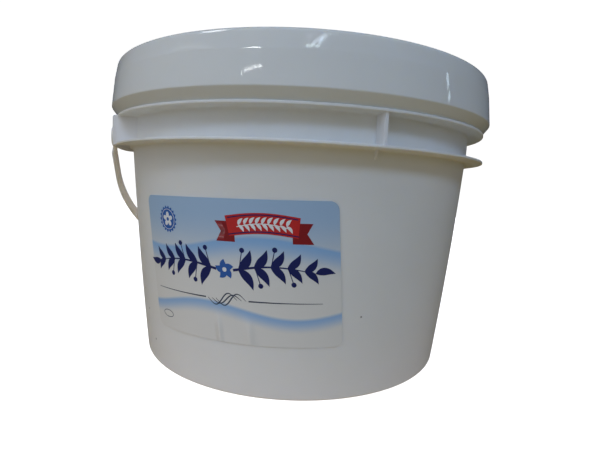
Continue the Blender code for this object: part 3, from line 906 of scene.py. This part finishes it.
def laminated_paper(name):
    """Gloss-laminated paper: white below, pale blue above, with two soft waves of deeper blue.

    The film shines softly, and two upright ripples stand where it didn't quite stick."""
    material, tree, shader = new_material(name, LAMINATE)
    spot = add(tree, "ShaderNodeAttribute", attribute_name="print").outputs["Vector"]
    axes = add(tree, "ShaderNodeSeparateXYZ", {0: spot})
    across, up = axes.outputs["X"], axes.outputs["Y"]
    glow = add(tree, "ShaderNodeMapRange",
               {"Value": up, "From Min": FIELD_FADE[0], "From Max": FIELD_FADE[1]},
               interpolation_type="SMOOTHSTEP")
    field = add(tree, "ShaderNodeMix", {0: glow, 6: linear(FIELD_WHITE), 7: linear(FIELD_BLUE)},
                data_type="RGBA").outputs[2]
    for base, swell, length, start, fade in PRINTED_WAVES:
        phase = add(tree, "ShaderNodeMath", {0: across, 1: tau / length, 2: start},
                    operation="MULTIPLY_ADD")
        curve = add(tree, "ShaderNodeMath", {0: phase}, operation="SINE")
        crest = add(tree, "ShaderNodeMath", {0: curve, 1: swell, 2: base}, operation="MULTIPLY_ADD")
        above = add(tree, "ShaderNodeMath", {0: up, 1: crest}, operation="SUBTRACT")
        soft = add(tree, "ShaderNodeMapRange",
                   {"Value": above, "From Min": -fade, "From Max": 0.0,
                    "To Min": 0.0, "To Max": WAVE_DEPTH}, interpolation_type="SMOOTHSTEP")
        edge = add(tree, "ShaderNodeMapRange",
                   {"Value": above, "From Min": 0.0, "From Max": WAVE_EDGE,
                    "To Min": 1.0, "To Max": 0.0})
        share = add(tree, "ShaderNodeMath", {0: soft, 1: edge}, operation="MULTIPLY")
        field = add(tree, "ShaderNodeMix", {0: share, 6: field, 7: linear(WAVE_BLUE)},
                    data_type="RGBA").outputs[2]
    low = add(tree, "ShaderNodeMapRange",
              {"Value": up, "From Min": BUBBLE_FADE[0], "From Max": BUBBLE_FADE[1]},
              interpolation_type="SMOOTHSTEP")
    ripples = add(tree, "ShaderNodeValue")
    for middle, half_width in BUBBLES:
        aside = add(tree, "ShaderNodeMath", {0: across, 1: middle}, operation="SUBTRACT")
        steps = add(tree, "ShaderNodeMath", {0: aside, 1: half_width}, operation="DIVIDE")
        square = add(tree, "ShaderNodeMath", {0: steps, 1: steps}, operation="MULTIPLY")
        fallen = add(tree, "ShaderNodeMath", {0: square, 1: -1.0}, operation="MULTIPLY")
        ridge = add(tree, "ShaderNodeMath", {0: fallen}, operation="EXPONENT")
        ripples = add(tree, "ShaderNodeMath", {0: ridge, 1: ripples}, operation="ADD")
    raised = add(tree, "ShaderNodeMath", {0: ripples, 1: low}, operation="MULTIPLY")
    lifted = add(tree, "ShaderNodeBump",
                 {"Height": raised, "Distance": BUBBLE_HEIGHT, "Strength": 1.0})
    join(tree, shader, {"Base Color": field, "Normal": lifted})
    return material


def laminated_ink(name, colour):
    """Printing ink under the laminate: flat colour, faintly speckled, with the film's gloss."""
    material, tree, shader = new_material(name, LAMINATE)
    place = add(tree, "ShaderNodeTexCoord").outputs["Object"]
    speckle = add(tree, "ShaderNodeTexNoise", {"Vector": place, "Scale": 1 / INK_SPECKLE_SIZE})
    value = add(tree, "ShaderNodeMapRange", {"Value": speckle, "To Min": 0.88, "To Max": 1.12})
    printed = add(tree, "ShaderNodeHueSaturation", {"Color": linear(colour), "Value": value})
    join(tree, shader, {"Base Color": printed})
    return material


def glowing_board(name, white, roughness):
    """Matt white board lit so strongly that it shows as plain white, with no shadow on it."""
    return new_material(name, {"Base Color": linear(white), "Roughness": roughness,
                               "Emission Color": linear("#FFFFFF"), "Emission Strength": 1.0})[0]


# ---------------------------------------------------------------- studio

FLOOR_RADIUS = 6.0  # metres, as every size below
DOME_RADIUS = 6.5
WORLD_LOW = [0.046, 0.037, 0.006, 1]  # linear colours of the light from below and from above
WORLD_HIGH = [0.064, 0.077, 0.100, 1]
WORLD_BLEND = 0.25  # the two mix between this far below and above level
LIGHT_AIM = 0.09  # height on the pail's axis at which every light points

# Each light's name, azimuth and rise in degrees, distance, width and height, watts and colour.
# The soft lights fall on the plastic and don't show in its gloss. The table's stand below the
# floor, which casts no shadow, in place of the light that a table would throw back.
SOFT_LIGHTS = (
    ("key", -4, 39.5, 1.6, (0.3, 0.3), 5.8, "#BDD7FF"),
    ("high_front", -30, 50, 1.6, (1.0, 1.0), 2.2, "#D6EAFF"),
    ("high_left", -80, 50, 1.6, (1.0, 1.0), 5.1, "#FFF6E8"),
    ("front", -30, 15, 1.6, (1.0, 1.0), 1.19, "#D1E7FF"),
    ("left", -80, 15, 1.6, (1.0, 1.0), 3.0, "#E0EAFF"),
    ("half_right", 20, 15, 1.6, (1.0, 1.0), 0.90, "#E3F3FF"),
    ("right", 70, 15, 1.6, (1.0, 1.0), 1.20, "#EFEAFF"),
    ("back_left", -150, -5, 1.6, (1.0, 1.0), 4.0, "#FFE6D0"),
    ("back", -175, 35, 1.6, (1.0, 1.0), 4.5, "#EAF2FF"),
    ("back_right", 148, 15, 1.6, (1.0, 1.0), 6.0, "#F4F4FF"),
    ("near_left", -60, -5, 0.7, (0.5, 0.5), 0.17, "#F8EEFF"),
    ("near_low_front", 5, -25, 0.6, (0.5, 0.5), 0.122, "#FFE9C0"),
    ("near_low_left", -50, -25, 0.6, (0.5, 0.5), 0.122, "#FFF4DA"),
    ("table_wide", 0, -90, 0.110, (1.2, 1.2), 0.262, "#FFE97A"),
    ("table_middle", 0, -90, 0.108, (0.5, 0.5), 0.069, "#FFEFB3"),
    ("table_near", 0, -90, 0.106, (0.3, 0.3), 0.052, "#FCE2FF"),
)
# The same and a roll in degrees. These lamps and windows only shine in the gloss.
GLOSS_LIGHTS = (
    ("streak", -42.0, 27.0, 1.73, (0.25, 0.010), 0.10, "#FFFFFF", 7.7),
    ("streak_end", -47.9, 26.2, 1.73, (0.012, 0.024), 0.014, "#FFFFFF", 0),
    ("crease", -43.8, 33.0, 1.73, (0.27, 0.17), 2.0, "#FFFFFF", 4.6),
    ("faint", -82, 33, 1.70, (0.75, 0.014), 0.03, "#FFFFFF", 10),
    ("window_band", -0.4, 40.6, 1.74, (0.22, 0.045), 0.17, "#DDF2F6", -1.8),
    ("window_slant", -6.7, 39.4, 1.74, (0.19, 0.018), 0.06, "#DCE8F6", 7.9),
    ("window_spot", -5.9, 39.2, 1.74, (0.05, 0.020), 0.025, "#BFDCFA", 17),
    ("window_low", -10.5, 38.6, 1.74, (0.19, 0.010), 0.06, "#DDF2F6", 0),
    ("window_faint", -13.0, 39.7, 1.74, (0.08, 0.016), 0.010, "#E6E6F4", 0),
    ("shoulder", -80, 50, 1.70, (0.30, 0.50), 4.0, "#FFFFFF", 22),
    ("strip_high", 70.3, 22.8, 1.69, (0.045, 0.066), 0.035, "#D6ECFF", 20),
    ("strip_low", 71.4, 20.5, 1.69, (0.045, 0.032), 0.018, "#D6ECFF", 20),
)


def only_seen_by_camera(item):
    """Keep an object out of every light path but the camera's."""
    for path in ("diffuse", "glossy", "transmission", "shadow"):
        setattr(item, "visible_" + path, False)


def make_stage():
    """A floor and a white dome far round it, both seen only by the camera."""
    bm = bmesh.new()
    bmesh.ops.create_circle(bm, cap_ends=True, segments=96, radius=FLOOR_RADIUS)
    ground = from_bmesh("floor", bm, glowing_board("white board", "#F2F1EE", 0.9))
    bm = bmesh.new()
    bmesh.ops.create_uvsphere(bm, u_segments=48, v_segments=24, radius=DOME_RADIUS)
    dome = from_bmesh("backdrop", bm, glowing_board("white backdrop", "#FFFFFF", 0.5))
    for item in (ground, dome):
        only_seen_by_camera(item)


def area_light(name, azimuth, rise, distance, size, watts, colour, roll=0.0, in_gloss=False):
    """A rectangular light that points at the pail, from an azimuth and a rise in degrees.

    It lights the plastic softly, or where in_gloss is set it only shines in the gloss."""
    data = bpy.data.lights.new(name, "AREA")
    data.shape = "RECTANGLE"
    data.size, data.size_y = size
    data.energy = watts
    data.color = linear(colour)[:3]
    item = bpy.data.objects.new(name, data)
    away = distance * cos(radians(rise))
    middle = Vector((0, 0, LIGHT_AIM))
    item.location = middle + on_circle(radians(azimuth), away, distance * sin(radians(rise)))
    facing = (middle - item.location).to_track_quat("-Z", "Y").to_matrix()
    item.rotation_euler = (facing @ Matrix.Rotation(radians(roll), 3, "Z")).to_euler()
    item.visible_camera = False
    item.visible_glossy = in_gloss
    item.visible_diffuse = not in_gloss
    bpy.context.scene.collection.objects.link(item)


def make_world():
    """Soft light from all round: cool from above, warm and weaker from below."""
    world = bpy.data.worlds.new("studio")
    bpy.context.scene.world = world
    world.use_nodes = True
    tree = world.node_tree
    place = add(tree, "ShaderNodeTexCoord").outputs["Generated"]
    up = add(tree, "ShaderNodeSeparateXYZ", {0: place}).outputs["Z"]
    share = add(tree, "ShaderNodeMapRange",
                {"Value": up, "From Min": -WORLD_BLEND, "From Max": WORLD_BLEND},
                interpolation_type="SMOOTHSTEP")
    sky = add(tree, "ShaderNodeMix", {0: share, 6: WORLD_LOW, 7: WORLD_HIGH}, data_type="RGBA")
    join(tree, tree.nodes["Background"], {"Color": sky.outputs[2], "Strength": 1.0})
    bpy.context.scene.view_settings.view_transform = "Standard"


def make_lights():
    """The world's light, the soft lights and the lamps that show in the gloss."""
    make_world()
    for light in SOFT_LIGHTS:
        area_light(*light)
    for light in GLOSS_LIGHTS:
        area_light(*light, in_gloss=True)


def make_camera():
    """The photograph's camera."""
    data = bpy.data.cameras.new("camera")
    data.lens = LENS
    data.sensor_width = SENSOR_WIDTH
    camera = bpy.data.objects.new("camera", data)
    camera.location = on_circle(CAMERA_AZIMUTH, CAMERA_DISTANCE, CAMERA_HEIGHT)
    turn = (Matrix.Rotation(CAMERA_AZIMUTH + CAMERA_PAN, 3, "Z")
            @ Matrix.Rotation(pi / 2 + CAMERA_TILT, 3, "X") @ Matrix.Rotation(CAMERA_ROLL, 3, "Z"))
    camera.rotation_euler = turn.to_euler()
    bpy.context.scene.collection.objects.link(camera)
    bpy.context.scene.camera = camera


# ---------------------------------------------------------------- the whole

def main():
    """Build every piece, tie it to its body, and set up the studio."""
    turning = turning_tree()
    specks = [(on_circle(radians(azimuth), wall_radius(height * MM), height * MM), radius * MM)
              for azimuth, height, radius in SPECKS]
    wall_white = moulded_plastic("white polypropylene", "#EDEDEA", "#E7E7E3", roughness=0.34,
                                 wave=0.10 * MM, grain=0.006 * MM, specks=specks)
    lid_white = moulded_plastic("glossy white polyethylene", "#E9EAE6", "#E3E4E0",
                                roughness=0.035, wave=0.010 * MM, grain=0.0001 * MM)
    bail_white = moulded_plastic("white bail polypropylene", "#F4F1EC", "#EDE9E3",
                                 roughness=0.38, wave=0.02 * MM, grain=0.006 * MM)
    inks = {name: laminated_ink(name + " ink", colour) for name, colour in INK_COLOURS.items()}

    pail = make_pail(wall_white, turning)
    lid = make_lid(lid_white, turning)
    label = make_label(laminated_paper("laminated paper"))
    for piece, node in ((pail, "pail"), (lid, "lid"), (label, "label")):
        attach(piece, PACK)
        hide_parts(node)
    for piece in make_pivots(wall_white, turning):
        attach(piece, PACK)
    for piece in make_prints(inks):
        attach(piece, PACK)
    strap, *eyes = make_bail(bail_white, turning)
    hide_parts("bail")
    for piece in [strap] + eyes:
        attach(piece, HANDLE)
    make_stage()
    make_lights()
    make_camera()


main()
